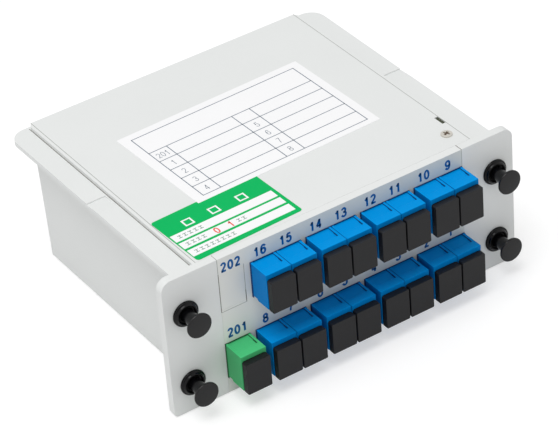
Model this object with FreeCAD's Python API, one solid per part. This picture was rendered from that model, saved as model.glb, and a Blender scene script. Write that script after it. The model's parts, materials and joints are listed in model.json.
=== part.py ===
import FreeCAD, Part
import os

# PLC fibre splitter cassette, sixteen outputs, millimetres.
# X runs along the front panel, Y runs from the front panel to the rear, Z is up.
# The origin is the centre of the base's flat bottom. A depth is a distance behind the panel's face.

V = FreeCAD.Vector

# How far a cutting tool runs past the face it opens, and how close two equal coordinates are.
PAST = 1.0
SAME = 1e-4

# Adapters, and how they stand in the plate: one at the left end, then pairs, in two rows.
ADAPTER_W = 9.1
ADAPTER_H = 12.6
ADAPTER_FRONT = 8.7
ADAPTER_BACK = 19.5
ADAPTER_GAP = 0.2
PAIR_GAP = 1.65
SINGLE_GAP = 2.15
PORT_EDGE = 0.2
PAIR_COUNT = 4
LOWER_ROW_Z = 12.2
UPPER_ROW_DROP = 12.5

# Base shell: a moulded box whose sides lean out a little towards the top, with an ear at each end.
HEIGHT = 50.0
DEPTH = 100.0
PLATE_INSET = 6.7
EAR_REACH = 13.0
EAR_T = 3.0
EAR_TOP_R = 3.5
EAR_FOOT_R = 1.5
DRAFT = 1.0
WALL_T = 2.0
FLOOR_T = 2.0
REAR_EDGE_R = 2.6
RIM_T = 1.1
SEAM = 0.05

# Inner plate between the ears.
PLATE_BACK_T = 1.4
PLATE_TONGUE_W = 3.3
OPENING_CLEARANCE = 0.1

# Slide flanges along the top of both sides.
FLANGE_REACH = 7.4
FLANGE_T = 1.6
FLANGE_DROP = 1.2
FLANGE_CORNER_R = 5.6
NOTCH_REAR = 51.5
NOTCH_LENGTH = 6.5
NOTCH_DEPTH = 0.4
NOTCH_INSET = 0.8

# Inside an adapter: two sockets, a divider, and a sleeve that lines up two ferrules.
SOCKET_W = 7.5
SOCKET_H = 9.1
SOCKET_DEPTH = 14.0
DIVIDER_T = 2.0
SLEEVE_R = 1.6
SLEEVE_BORE_R = 1.25
SLEEVE_LENGTH = 10.6
SLEEVE_CLEARANCE = 0.05
SLEEVE_SIDES = 8
KEY_W = 2.2
KEY_LENGTH = 6.5
KEY_DEPTH = 0.8
RELIEF_RIM = 0.9
RELIEF_DEPTH = 0.3
RELIEF_LENGTH = 5.4
GROOVE_LENGTH = 2.4
GROOVE_DEPTH = 0.6
STOP_T = 1.2
STOP_H = 0.9

# Dust caps.
CAP_SIDE_GAP = 0.2
CAP_TOP_GAP = 1.75
CAP_FOOT_DROP = 0.3
CAP_T = 2.3
CAP_GAP = 0.1
CAP_CORNER = 0.2
CAP_PLUG_LENGTH = 6.0
CAP_PLUG_CLEARANCE = 0.1
CAP_PLUG_WALL = 1.0

# Blank that closes the spare input window.
BLANK_GAP = 0.05
BLANK_SNAP_T = 1.0
BLANK_SNAP_H = 0.7

# Push-pull latches, two in each ear.
LATCH_INSET = 7.3
LATCH_LOW = 10.3
LATCH_DROP = 13.7
GROMMET_RIM_R = 4.4
GROMMET_RIM_T = 1.5
GROMMET_SEAT_R = 3.4
GROMMET_NOSE_R = 3.2
GROMMET_NOSE_END = 9.5
GROMMET_FIT = 0.1
GROMMET_SLIT_W = 0.7
GROMMET_SLIT_START = 1.0
GROMMET_SLIT_TURN = 45.0
GROMMET_DISH = 0.9
GROMMET_LAND = 0.7
KNOB_R = 4.2
KNOB_T = 1.1
KNOB_FRONT = 8.1
PIN_R = 2.2
PIN_REACH = 9.0
BORE_CLEARANCE = 0.1

# Cover, its screw and the notch beside the screw.
COVER_T = 2.0
COVER_RIB_T = 1.2
COVER_RIB_H = 1.5
COVER_RIB_GAP = 0.3
SCREW_INSET = 5.2
SCREW_DEPTH = 9.6
SCREW_HEAD_R = 1.9
SCREW_HEAD_H = 0.7
SCREW_SHANK_R = 1.0
SCREW_LENGTH = 8.0
SCREW_CLEARANCE = 0.1
BOSS_R = 3.0
BOSS_WEB_T = 2.4
BOSS_GAP = 0.15
COVER_NOTCH_DEPTH = 17.4
COVER_NOTCH_W = 1.4
COVER_NOTCH_L = 4.3
COVER_NOTCH_CUT = 1.6

# Labels on the cover; each is placed by its middle, from the cover's left side and from the front.
LABEL_T = 0.1
TABLE_LABEL = {"w": 69.7, "h": 45.4, "inset": 52.6, "depth": 51.7, "turn": 1.7}
CHECK_LABEL = {"w": 38.9, "h": 25.1, "inset": 21.2, "depth": 16.6, "turn": 2.2}

# Connectors plugged into the adapters from inside.
CONNECTOR_IN = 9.0
CONNECTOR_OUT = 8.0
CONNECTOR_CLEARANCE = 0.1
BOOT_L = 14.0
BOOT_ROOT = 4.6
BOOT_TIP = 2.2
FERRULE_CLEARANCE = 0.03
FERRULE_IN_SLEEVE = 4.0

# Fibre coils behind the connectors, on their spool guides, and the fibres that reach them.
TAIL_RUN = 11.0
COIL_REAR_GAP = 4.0
COIL_SIDE_GAP = 6.0
COIL_SECTION = 3.6
COIL_GAP = 0.4
COIL_STEPS = 8
SPOOL_WALL_T = 1.5
FIBRE_D = 0.9
FIBRE_BEND = 6.0
TAIL_OVERLAP = 2.0

# Splitter module, lying on the floor between the connectors and the coils.
MODULE_L = 60.0
MODULE_W = 7.0
MODULE_H = 4.0
MODULE_EDGE = 0.6
MODULE_BOOT_L = 5.0
MODULE_BOOT_INSET = 1.0
MODULE_BOOT_TIP = 0.5
CLIP_T = 1.2
CLIP_L = 6.0
CLIP_INSET = 12.0
CLIP_GAP = 0.05
CLIP_RISE = 1.0

# Worked out from the sizes above.
PORT_PITCH = ADAPTER_W + ADAPTER_GAP
PAIR_PITCH = 2 * PORT_PITCH + PAIR_GAP
PAIRS_W = (PAIR_COUNT - 1) * PAIR_PITCH + PORT_PITCH + ADAPTER_W
PLATE_W = ADAPTER_W + SINGLE_GAP + PAIRS_W + PORT_EDGE
SINGLE_X = (ADAPTER_W - PLATE_W) / 2.0
LAST_PAIR_X = (PLATE_W - PORT_PITCH - ADAPTER_W) / 2.0 - PORT_EDGE
ROW_Z = {"lower": LOWER_ROW_Z, "upper": HEIGHT - UPPER_ROW_DROP}
BODY_W = PLATE_W + 2 * PLATE_INSET
PANEL_W = BODY_W + 2 * EAR_REACH
PLATE_BACK = EAR_T + PLATE_BACK_T
INNER_HALF_W = BODY_W / 2.0 - DRAFT - WALL_T
INNER_REAR = DEPTH - DRAFT - WALL_T
SCREW_X = BODY_W / 2.0 - SCREW_INSET
DIVIDER_FRONT = SOCKET_DEPTH - ADAPTER_FRONT
SLEEVE_MIDDLE = DIVIDER_FRONT + DIVIDER_T / 2.0
BOOTS_END = ADAPTER_BACK + CONNECTOR_OUT + BOOT_L
COIL_FRONT = BOOTS_END + TAIL_RUN
COIL_REAR = INNER_REAR - COIL_REAR_GAP
COIL_DEPTH = (COIL_FRONT + COIL_REAR) / 2.0
COIL_R = (COIL_REAR - COIL_FRONT - COIL_SECTION) / 2.0
COIL_X = INNER_HALF_W - COIL_SIDE_GAP - COIL_R - COIL_SECTION / 2.0
MODULE_DEPTH = BOOTS_END + TAIL_RUN / 2.0


def at(depth):
    """Y of a plane that lies depth behind the panel's outer face."""
    return depth - DEPTH / 2.0


def near(a, b):
    """Whether two coordinates are the same."""
    return abs(a - b) < SAME


def box(x0, x1, depth0, depth1, z0, z1):
    """Box from two ends along X, in either order, two depths and two heights."""
    return Part.makeBox(abs(x1 - x0), depth1 - depth0, z1 - z0, V(min(x0, x1), at(depth0), z0))


def block(x, z, width, height, depth0, depth1):
    """Box centred on a port's axis."""
    return box(x - width / 2.0, x + width / 2.0, depth0, depth1, z - height / 2.0, z + height / 2.0)


def rod(x, z, radius, depth0, depth1):
    """Round bar along Y."""
    return Part.makeCylinder(radius, depth1 - depth0, V(x, at(depth0), z), V(0, 1, 0))


def bar(x, z, radius, depth0, depth1):
    """Bar along Y with as many flats as a sleeve, for the small parts that repeat in every port."""
    corner = V(radius, 0, 0)
    ring = []
    for k in range(SLEEVE_SIDES):
        turn = FreeCAD.Rotation(V(0, 1, 0), 360.0 * (k + 0.5) / SLEEVE_SIDES)
        ring.append(V(x, at(depth0), z) + turn.multVec(corner))
    return Part.Face(Part.makePolygon(ring + ring[:1])).extrude(V(0, depth1 - depth0, 0))


def turned(x, z, profile):
    """Solid of revolution about a Y axis; the profile lists (radius, depth) pairs."""
    points = [V(x + radius, at(depth), z) for radius, depth in profile]
    face = Part.Face(Part.makePolygon(points + points[:1]))
    return face.revolve(V(x, 0, z), V(0, 1, 0), 360)


def tapered(first, last):
    """Flat-sided solid between two parallel outlines with as many corners."""
    faces = [Part.Face(Part.makePolygon(ring + ring[:1])) for ring in (first, last)]
    for k in range(len(first)):
        side = [first[k - 1], first[k], last[k], last[k - 1]]
        faces.append(Part.Face(Part.makePolygon(side + side[:1])))
    solid = Part.makeSolid(Part.makeShell(faces))
    if solid.Volume < 0:
        solid.reverse()
    return solid.removeSplitter()


def corners(middle, across, up):
    """Corners of a rectangle from its middle and its two half sides."""
    return [middle - across - up, middle + across - up, middle + across + up, middle - across + up]


def edges_where(shape, test):
    """Edges whose two ends both pass the test."""
    return [e for e in shape.Edges if len(e.Vertexes) == 2 and all(test(v.Point) for v in e.Vertexes)]


def port_columns():
    """X of every port column in the pairs, from left to right."""
    centres = [LAST_PAIR_X - PAIR_PITCH * k for k in reversed(range(PAIR_COUNT))]
    return [c + side * PORT_PITCH / 2.0 for c in centres for side in (-1, 1)]


def ports():
    """Port name, X and Z of every adapter, with the input port first."""
    columns = port_columns()
    count = len(columns)
    rows = [("201", SINGLE_X, ROW_Z["lower"])]
    rows += [("%02d" % (2 * count - k), x, ROW_Z["upper"]) for k, x in enumerate(columns)]
    rows += [("%02d" % (count - k), x, ROW_Z["lower"]) for k, x in enumerate(columns)]
    return rows


def latches():
    """Name, X and Z of the four latches."""
    x = PANEL_W / 2.0 - LATCH_INSET
    levels = (("lower", LATCH_LOW), ("upper", HEIGHT - LATCH_DROP))
    return [(side + "_" + level, sign * x, z)
            for side, sign in (("left", -1), ("right", 1)) for level, z in levels]


def ear(sign):
    """Flat ear at one end of the panel, with its outer corners rounded."""
    outer = sign * PANEL_W / 2.0
    plate = box(sign * (PLATE_W / 2.0 + SEAM), outer, 0, EAR_T, 0, HEIGHT)
    top = edges_where(plate, lambda p: near(p.x, outer) and near(p.z, HEIGHT))
    plate = plate.makeFillet(EAR_TOP_R, top)
    foot = edges_where(plate, lambda p: near(p.x, outer) and near(p.z, 0))
    return plate.makeFillet(EAR_FOOT_R, foot)


def flange(sign):
    """Thin slide flange along the top of one side, with a detent notch half way."""
    top = HEIGHT - FLANGE_DROP
    side = BODY_W / 2.0
    outer = side + FLANGE_REACH
    plate = box(sign * (side - RIM_T), sign * outer, EAR_T / 2.0, DEPTH, top - FLANGE_T, top)
    rear = edges_where(plate, lambda p: near(p.x, sign * outer) and near(p.y, at(DEPTH)))
    plate = plate.makeFillet(FLANGE_CORNER_R, rear)
    rear_y, front_y = at(NOTCH_REAR), at(NOTCH_REAR - NOTCH_LENGTH)
    x = sign * (side + NOTCH_INSET)
    ramp = [V(x, rear_y, top - NOTCH_DEPTH), V(x, rear_y, top + PAST), V(x, front_y, top + PAST),
            V(x, front_y, top)]
    wedge = Part.Face(Part.makePolygon(ramp + ramp[:1])).extrude(V(sign * (FLANGE_REACH + PAST), 0, 0))
    return plate.cut(wedge)


def leaning_box(inset, z0, z1):
    """Box with leaning sides and rear, set in by inset from the base's outer skin."""
    rings = []
    for z in (z0, z1):
        lean = DRAFT * (1.0 - z / HEIGHT)
        half = BODY_W / 2.0 - lean - inset
        front, rear = at(EAR_T), at(DEPTH - lean - inset)
        rings.append([V(-half, front, z), V(half, front, z), V(half, rear, z), V(-half, rear, z)])
    return tapered(rings[0], rings[1])


def half_round(sign, radius):
    """Points of one rounded end of the coil's path, in short straight runs, at the origin's height."""
    centre, arm = V(sign * COIL_X, at(COIL_DEPTH), 0), V(radius, 0, 0)
    turns = [180.0 * k / COIL_STEPS - 90 for k in range(COIL_STEPS + 1)]
    return [centre + sign * FreeCAD.Rotation(V(0, 0, 1), turn).multVec(arm) for turn in turns]


def upright(outline, z0, z1):
    """Solid between two heights from its outline at the origin's height."""
    face = Part.Face(Part.makePolygon(outline + outline[:1]))
    face.translate(V(0, 0, z0))
    return face.extrude(V(0, 0, z1 - z0))


def spool_guides():
    """Two half-round walls on the floor that hold the coils at their ends."""
    outer_r = COIL_R - COIL_SECTION / 2.0 - COIL_GAP
    top = ROW_Z["upper"] + COIL_SECTION
    return [upright(half_round(sign, outer_r) + half_round(sign, outer_r - SPOOL_WALL_T)[::-1],
                    FLOOR_T / 2.0, top) for sign in (-1, 1)]


def module_clips():
    """Upright ribs that grip the splitter module from both sides."""
    clips = []
    top = FLOOR_T + MODULE_H + CLIP_RISE
    for x in (CLIP_INSET - MODULE_L / 2.0, MODULE_L / 2.0 - CLIP_INSET):
        for side in (-1, 1):
            middle = MODULE_DEPTH + side * (MODULE_W / 2.0 + CLIP_GAP + CLIP_T / 2.0)
            clips.append(box(x - CLIP_L / 2.0, x + CLIP_L / 2.0, middle - CLIP_T / 2.0,
                             middle + CLIP_T / 2.0, FLOOR_T / 2.0, top))
    return clips


def screw_boss():
    """Post that takes the cover screw, webbed to the wall and flat beside the end adapter."""
    low, top = FLOOR_T / 2.0, HEIGHT - COVER_T
    front, rear = SCREW_DEPTH - BOSS_R - PAST, SCREW_DEPTH + BOSS_R + PAST
    post = Part.makeCylinder(BOSS_R, top - low, V(SCREW_X, at(SCREW_DEPTH), low))
    web = BOSS_WEB_T / 2.0
    wall = INNER_HALF_W + WALL_T / 2.0
    post = post.fuse(box(SCREW_X, wall, SCREW_DEPTH - web, SCREW_DEPTH + web, low, top))
    adapter_end = port_columns()[-1] + ADAPTER_W / 2.0
    return post.cut(box(0, adapter_end + BOSS_GAP, front, rear, 0, HEIGHT))


def base_shell():
    """Open-topped box with ears, slide flanges, a screw boss, spool guides and clips."""
    body = leaning_box(0, 0, HEIGHT)
    rear = at(DEPTH - DRAFT)
    low_rear = edges_where(body, lambda p: p.y > rear - SAME and near(p.z, 0))
    uprights = [e for e in edges_where(body, lambda p: p.y > rear - SAME)
                if e.BoundBox.ZLength > HEIGHT / 2.0]
    body = body.makeFillet(REAR_EDGE_R, low_rear + uprights)
    body = body.fuse([flange(-1), flange(1)])
    body = body.cut(leaning_box(WALL_T, FLOOR_T, HEIGHT))
    seat = BODY_W / 2.0 - RIM_T
    body = body.cut(box(-seat, seat, 0, DEPTH + PAST, HEIGHT - COVER_T, HEIGHT + PAST))
    body = body.fuse([ear(-1), ear(1), screw_boss()] + spool_guides() + module_clips())
    for name, x, z in latches():
        body = body.cut(rod(x, z, GROMMET_SEAT_R + GROMMET_FIT, -PAST, EAR_T + PAST))
    pilot = V(SCREW_X, at(SCREW_DEPTH), HEIGHT - SCREW_LENGTH)
    return body.cut(Part.makeCylinder(SCREW_SHANK_R, SCREW_LENGTH, pilot)).removeSplitter()


def windows():
    """Cuts for the windows in the inner plate; the end ones run out at the plate's ends."""
    height = ADAPTER_H + 2 * OPENING_CLEARANCE
    half_pair = (PORT_PITCH + ADAPTER_W) / 2.0 + OPENING_CLEARANCE
    end = PLATE_W / 2.0 + SEAM
    spans = [(-end, SINGLE_X + ADAPTER_W / 2.0 + OPENING_CLEARANCE)]
    for k in range(PAIR_COUNT):
        centre = LAST_PAIR_X - PAIR_PITCH * k
        spans.append((centre - half_pair, end if k == 0 else centre + half_pair))
    return [box(x0, x1, -PAST, PLATE_BACK + PAST, z - height / 2.0, z + height / 2.0)
            for z in ROW_Z.values() for x0, x1 in spans]


def front_plate():
    """Inner plate between the ears, with tongues that slide down behind them."""
    half = PLATE_W / 2.0
    tongue = half + PLATE_TONGUE_W
    low, high = FLOOR_T + SEAM, HEIGHT - COVER_T - SEAM
    plate = box(-half, half, 0, EAR_T, 0, HEIGHT)
    plate = plate.fuse([box(-half, half, EAR_T, PLATE_BACK, low, high),
                        box(-tongue, tongue, EAR_T + SEAM, PLATE_BACK, low, high)])
    return plate.cut(windows()).removeSplitter()


def cover():
    """Flat lid between the rims, with locating ribs below, a screw hole and a notch in one side."""
    half = BODY_W / 2.0 - RIM_T - SEAM
    low = HEIGHT - COVER_T
    lid = box(-half, half, EAR_T + SEAM, DEPTH, low, HEIGHT)
    rib_x = INNER_HALF_W - COVER_RIB_GAP
    rib_start = SCREW_DEPTH + BOSS_R + COVER_RIB_GAP
    rib_end = INNER_REAR - COVER_RIB_GAP
    ribs = [box(-rib_x, rib_x, rib_end - COVER_RIB_T, rib_end, low - COVER_RIB_H, low)]
    for sign in (-1, 1):
        ribs.append(box(sign * rib_x, sign * (rib_x - COVER_RIB_T), rib_start, rib_end,
                        low - COVER_RIB_H, low))
    lid = lid.fuse(ribs)
    hole = V(SCREW_X, at(SCREW_DEPTH), low - PAST)
    lid = lid.cut(Part.makeCylinder(SCREW_SHANK_R + SCREW_CLEARANCE, COVER_T + 2 * PAST, hole))
    start = COVER_NOTCH_DEPTH - COVER_NOTCH_L / 2.0
    notch = box(half - COVER_NOTCH_W, half + PAST, start, start + COVER_NOTCH_L,
                HEIGHT - COVER_NOTCH_CUT, HEIGHT + PAST)
    return lid.cut(notch).removeSplitter()


def cover_screw():
    """Pan-head screw that holds the cover."""
    seat = V(SCREW_X, at(SCREW_DEPTH), HEIGHT)
    head = Part.makeCylinder(SCREW_HEAD_R, SCREW_HEAD_H, seat)
    shank = Part.makeCylinder(SCREW_SHANK_R, SCREW_LENGTH, seat - V(0, 0, SCREW_LENGTH))
    return head.fuse(shank).removeSplitter()


def adapter(x, z):
    """Simplex adapter: two sockets back to back, and a divider that holds the sleeve."""
    shell = block(x, z, ADAPTER_W, ADAPTER_H, -ADAPTER_FRONT, ADAPTER_BACK)
    shell = shell.fuse(block(x, z, ADAPTER_W, ADAPTER_H + 2 * STOP_H, PLATE_BACK, PLATE_BACK + STOP_T))
    low, side = z - ADAPTER_H / 2.0, x - ADAPTER_W
    ramp = [V(side, at(-GROOVE_LENGTH - GROOVE_DEPTH), low), V(side, at(-GROOVE_LENGTH), low + GROOVE_DEPTH),
            V(side, at(0), low + GROOVE_DEPTH), V(side, at(0), low)]
    key_z = z - (SOCKET_H + KEY_DEPTH) / 2.0
    divider_back = DIVIDER_FRONT + DIVIDER_T
    return shell.cut([
        block(x, z, SOCKET_W, SOCKET_H, -ADAPTER_FRONT - PAST, DIVIDER_FRONT),
        block(x, z, SOCKET_W, SOCKET_H, divider_back, ADAPTER_BACK + PAST),
        bar(x, z, SLEEVE_R + SLEEVE_CLEARANCE, DIVIDER_FRONT - PAST, divider_back + PAST),
        block(x, key_z, KEY_W, KEY_DEPTH, -ADAPTER_FRONT - PAST, KEY_LENGTH - ADAPTER_FRONT),
        block(x, z + ADAPTER_H / 2.0, ADAPTER_W - 2 * RELIEF_RIM, 2 * RELIEF_DEPTH,
              -RELIEF_LENGTH, PLATE_BACK),
        Part.Face(Part.makePolygon(ramp + ramp[:1])).extrude(V(2 * ADAPTER_W, 0, 0)),
    ]).removeSplitter()


def sleeves():
    """The alignment sleeves of all adapters, as one group."""
    start, end = SLEEVE_MIDDLE - SLEEVE_LENGTH / 2.0, SLEEVE_MIDDLE + SLEEVE_LENGTH / 2.0
    made = []
    for name, x, z in ports():
        bore = bar(x, z, SLEEVE_BORE_R, start - PAST, end + PAST)
        made.append(bar(x, z, SLEEVE_R, start, end).cut(bore))
    return Part.makeCompound(made)


def dust_cap(x, z):
    """Square cap with a hollow plug that sits in the adapter's socket."""
    back = -ADAPTER_FRONT - CAP_GAP
    front = back - CAP_T
    plate = box(x - ADAPTER_W / 2.0 + CAP_SIDE_GAP, x + ADAPTER_W / 2.0 - CAP_SIDE_GAP, front, back,
                z - ADAPTER_H / 2.0 - CAP_FOOT_DROP, z + ADAPTER_H / 2.0 - CAP_TOP_GAP)
    plate = plate.makeChamfer(CAP_CORNER, [e for e in plate.Edges if e.BoundBox.YLength > CAP_T - SAME])
    width = SOCKET_W - 2 * CAP_PLUG_CLEARANCE
    height = SOCKET_H - 2 * CAP_PLUG_CLEARANCE
    plug = block(x, z, width, height, back, CAP_PLUG_LENGTH - ADAPTER_FRONT)
    hollow = block(x, z, width - 2 * CAP_PLUG_WALL, height - 2 * CAP_PLUG_WALL, back,
                   CAP_PLUG_LENGTH - ADAPTER_FRONT + PAST)
    return plate.fuse(plug).cut(hollow).removeSplitter()


def blank_plug():
    """Flat blank for the spare input window, with snap ribs behind the plate."""
    width = ADAPTER_W - 2 * BLANK_GAP
    height = ADAPTER_H + 2 * (OPENING_CLEARANCE - BLANK_GAP)
    z = ROW_Z["upper"]
    plug = block(SINGLE_X, z, width, height, BLANK_GAP, PLATE_BACK + BLANK_SNAP_T)
    ribs = [block(SINGLE_X, z + side * (height + BLANK_SNAP_H) / 2.0, width, BLANK_SNAP_H,
                  PLATE_BACK, PLATE_BACK + BLANK_SNAP_T) for side in (-1, 1)]
    return plug.fuse(ribs).removeSplitter()


def latch_grommet(x, z):
    """Flanged sleeve with a dished face, a seat in the ear and a slit nose that grips a rack."""
    rim_front = -GROMMET_RIM_T
    bore = PIN_R + BORE_CLEARANCE
    sleeve = turned(x, z, [
        (bore, rim_front + GROMMET_DISH), (GROMMET_RIM_R - GROMMET_LAND, rim_front),
        (GROMMET_RIM_R, rim_front), (GROMMET_RIM_R, 0), (GROMMET_SEAT_R, 0), (GROMMET_SEAT_R, EAR_T),
        (GROMMET_NOSE_R, EAR_T), (GROMMET_NOSE_R, GROMMET_NOSE_END), (bore, GROMMET_NOSE_END),
    ])
    start, end = EAR_T + GROMMET_SLIT_START, GROMMET_NOSE_END + PAST
    reach = 2 * (GROMMET_NOSE_R + PAST)
    slits = [block(x, z, GROMMET_SLIT_W, reach, start, end),
             block(x, z, reach, GROMMET_SLIT_W, start, end)]
    for slit in slits:
        slit.rotate(V(x, 0, z), V(0, 1, 0), GROMMET_SLIT_TURN)
    return sleeve.cut(slits)


def latch_plunger(x, z):
    """Pull knob and pin in one piece, at the pulled-out end of its travel."""
    knob = rod(x, z, KNOB_R, -KNOB_FRONT, KNOB_T - KNOB_FRONT)
    return knob.fuse(rod(x, z, PIN_R, KNOB_T - KNOB_FRONT, PIN_REACH)).removeSplitter()


def label(size):
    """Thin printed label on the cover."""
    sheet = Part.makeBox(size["w"], size["h"], LABEL_T, V(-size["w"] / 2.0, -size["h"] / 2.0, 0))
    sheet.rotate(V(0, 0, 0), V(0, 0, 1), size["turn"])
    sheet.translate(V(size["inset"] - BODY_W / 2.0, at(size["depth"]), HEIGHT))
    return sheet


def check_label():
    """Lower label; the table label lies over its rear edge, and the strip under it is left out."""
    return label(CHECK_LABEL).cut(label(TABLE_LABEL))


def connector(x, z):
    """Plug of a fibre in the adapter's rear socket, with its ferrule and its tapered boot."""
    width = SOCKET_W - 2 * CONNECTOR_CLEARANCE
    height = SOCKET_H - 2 * CONNECTOR_CLEARANCE
    start, end = ADAPTER_BACK - CONNECTOR_IN, ADAPTER_BACK + CONNECTOR_OUT
    sleeve_end = SLEEVE_MIDDLE + SLEEVE_LENGTH / 2.0
    pocket_end = sleeve_end + CONNECTOR_CLEARANCE
    body = block(x, z, width, height, start, end)
    body = body.cut(block(x, z, width / 2.0, height / 2.0, start - PAST, pocket_end))
    ferrule = bar(x, z, SLEEVE_BORE_R - FERRULE_CLEARANCE, sleeve_end - FERRULE_IN_SLEEVE, pocket_end)
    root, tip = [corners(V(x, at(depth), z), V(side / 2.0, 0, 0), V(0, 0, side / 2.0))
                 for side, depth in ((BOOT_ROOT, end), (BOOT_TIP, end + BOOT_L))]
    return body.fuse([ferrule, tapered(root, tip)]).removeSplitter()


def connectors():
    """Connectors of the outputs, as one group."""
    return Part.makeCompound([connector(x, z) for name, x, z in ports() if name != "201"])


def track(radius, z0, z1):
    """Flat race-track block round the two spool centres."""
    return upright(half_round(1, radius) + half_round(-1, radius), z0, z1)


def fibre_tail(x, z):
    """One fibre: straight out of its boot, then aslant into the front run of the coil."""
    run = COIL_DEPTH - COIL_R
    inward = -1 if x > 0 else 1
    straight = run - FIBRE_BEND
    landing = x + inward * (FIBRE_BEND + max(0, abs(x) - FIBRE_BEND - COIL_X))
    route = [V(x, at(BOOTS_END), z), V(x, at(straight), z), V(landing, at(run), z),
             V(landing + inward * TAIL_OVERLAP, at(run), z)]
    section = corners(route[0], V(FIBRE_D / 2.0, 0, 0), V(0, 0, FIBRE_D / 2.0))
    outline = Part.makePolygon(section + section[:1])
    return Part.Wire(Part.makePolygon(route)).makePipeShell([outline], True, True, 1)


def fibre_coil(row):
    """The fibres of one row: a bundled coil with a tail to each connector."""
    z = ROW_Z[row]
    half = COIL_SECTION / 2.0
    coil = track(COIL_R + half, z - half, z + half).cut(track(COIL_R - half, z - half, z + half))
    return coil.fuse([fibre_tail(x, pz) for name, x, pz in ports() if near(pz, z)]).removeSplitter()


def riser():
    """Bundle that carries fibres from the lower coil up to the upper one."""
    half = COIL_SECTION / 2.0
    rear = COIL_DEPTH + COIL_R
    return box(-half, half, rear - half, rear + half, ROW_Z["lower"] + half, ROW_Z["upper"] - half)


def splitter_module():
    """Flat steel housing of the splitter chip, lying on the floor in its clips."""
    y = at(MODULE_DEPTH)
    body = Part.makeBox(MODULE_L, MODULE_W, MODULE_H, V(-MODULE_L / 2.0, y - MODULE_W / 2.0, FLOOR_T))
    return body.makeChamfer(MODULE_EDGE, [e for e in body.Edges if near(e.BoundBox.XLength, MODULE_L)])


def module_boots():
    """Rubber boots at both ends of the module, as one group."""
    middle = V(MODULE_L / 2.0, at(MODULE_DEPTH), FLOOR_T + MODULE_H / 2.0)
    across = V(0, MODULE_W / 2.0 - MODULE_BOOT_INSET, 0)
    up = V(0, 0, (MODULE_H - MODULE_BOOT_INSET) / 2.0)
    tip = middle + V(MODULE_BOOT_L, 0, 0)
    boot = tapered(corners(middle, across, up), corners(tip, across * MODULE_BOOT_TIP, up * MODULE_BOOT_TIP))
    return Part.makeCompound([boot, boot.mirror(V(0, 0, 0), V(1, 0, 0))])


def save(name, shape):
    """Write one node and report what it holds."""
    if not shape.isValid() or shape.Volume <= 0:
        raise ValueError("invalid solid: " + name)
    shape.exportStep("parts/%s.step" % name)
    print("%-24s solids %2d  volume %10.1f" % (name, len(shape.Solids), shape.Volume))


def main():
    os.makedirs("parts", exist_ok=True)
    save("base_shell", base_shell())
    save("front_plate", front_plate())
    save("cover", cover())
    save("cover_screw", cover_screw())
    save("blank_plug", blank_plug())
    save("table_label", label(TABLE_LABEL))
    save("check_label", check_label())
    for name, x, z in ports():
        save("adapter_" + name, adapter(x, z))
        save("dust_cap_" + name, dust_cap(x, z))
    save("latch_grommets", Part.makeCompound([latch_grommet(x, z) for name, x, z in latches()]))
    for name, x, z in latches():
        save("latch_plunger_" + name, latch_plunger(x, z))
    save("alignment_sleeves", sleeves())
    save("output_connectors", connectors())
    save("input_connector", connector(SINGLE_X, ROW_Z["lower"]))
    save("lower_fibres", fibre_coil("lower"))
    save("upper_fibres", fibre_coil("upper"))
    save("fibre_riser", riser())
    save("splitter_module", splitter_module())
    save("module_boots", module_boots())


main()
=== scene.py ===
"""Looks of a sixteen-output fibre splitter cassette: moulded case, adapters, caps, latches and labels.

Lengths are in metres unless a name ends in _mm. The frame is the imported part's own: X along the
front panel, Y from the front to the rear, Z up, with the origin in the middle of the flat bottom.
"""

import json
import logging
import math
from dataclasses import dataclass
from enum import Enum
from typing import Any, Callable, Iterable, Protocol, Sequence

import bpy
import numpy as np
from mathutils import Matrix, Vector


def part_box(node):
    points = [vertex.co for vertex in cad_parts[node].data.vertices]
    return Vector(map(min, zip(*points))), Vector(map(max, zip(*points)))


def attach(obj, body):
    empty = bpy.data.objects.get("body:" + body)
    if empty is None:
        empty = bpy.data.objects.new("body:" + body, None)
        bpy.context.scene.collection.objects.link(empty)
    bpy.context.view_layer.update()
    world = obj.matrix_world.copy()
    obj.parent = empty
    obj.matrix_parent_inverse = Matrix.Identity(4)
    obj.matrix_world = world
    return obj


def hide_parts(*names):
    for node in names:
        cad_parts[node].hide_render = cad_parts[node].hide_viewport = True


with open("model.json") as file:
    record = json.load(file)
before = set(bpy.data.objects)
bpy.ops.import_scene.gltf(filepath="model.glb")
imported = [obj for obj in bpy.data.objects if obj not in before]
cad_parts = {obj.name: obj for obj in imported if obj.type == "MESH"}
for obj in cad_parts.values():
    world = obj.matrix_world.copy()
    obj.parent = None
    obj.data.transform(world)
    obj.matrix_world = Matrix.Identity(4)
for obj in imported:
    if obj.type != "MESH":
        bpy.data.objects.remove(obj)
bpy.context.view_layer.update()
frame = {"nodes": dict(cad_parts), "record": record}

LOG = logging.getLogger("cassette")
MM = 0.001
ROOT = "cassette"
OUTPUTS = 16
BLANK_MARK = "202"
INPUT_PORT = "201"
OUTPUT_PORTS = tuple("%02d" % (k + 1) for k in range(OUTPUTS))
ALL_PORTS = (INPUT_PORT,) + OUTPUT_PORTS
LATCHES = ("left_lower", "left_upper", "right_lower", "right_upper")

Array = np.ndarray
Links = dict[str | int, bpy.types.NodeSocket]
Outline = tuple[tuple[float, float], ...]
Solid = tuple[Array, Iterable[Sequence[int]]]
Bar = tuple[float, ...]
Piece = bpy.types.Object

# Finishes -------------------------------------------------------------------------------------

# A grain makes the gloss vary by this share. A face starts to take the painted light of a top, and does
# so fully, at these heights of its normal. The drift's patches and the grain have this much fine detail.
GLOSS_SPREAD = 0.12
LOOKING_UP = (0.6, 0.9)
DRIFT_DETAIL, GRAIN_DETAIL = 3.0, 2.0
# Sockets of the Mix node, whose names are not unique: share, first colour, second colour, and result.
MIX_SHARE, MIX_FIRST, MIX_SECOND, MIXED = 0, 6, 7, 2
WHITE = (1.0, 1.0, 1.0, 1.0)


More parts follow.
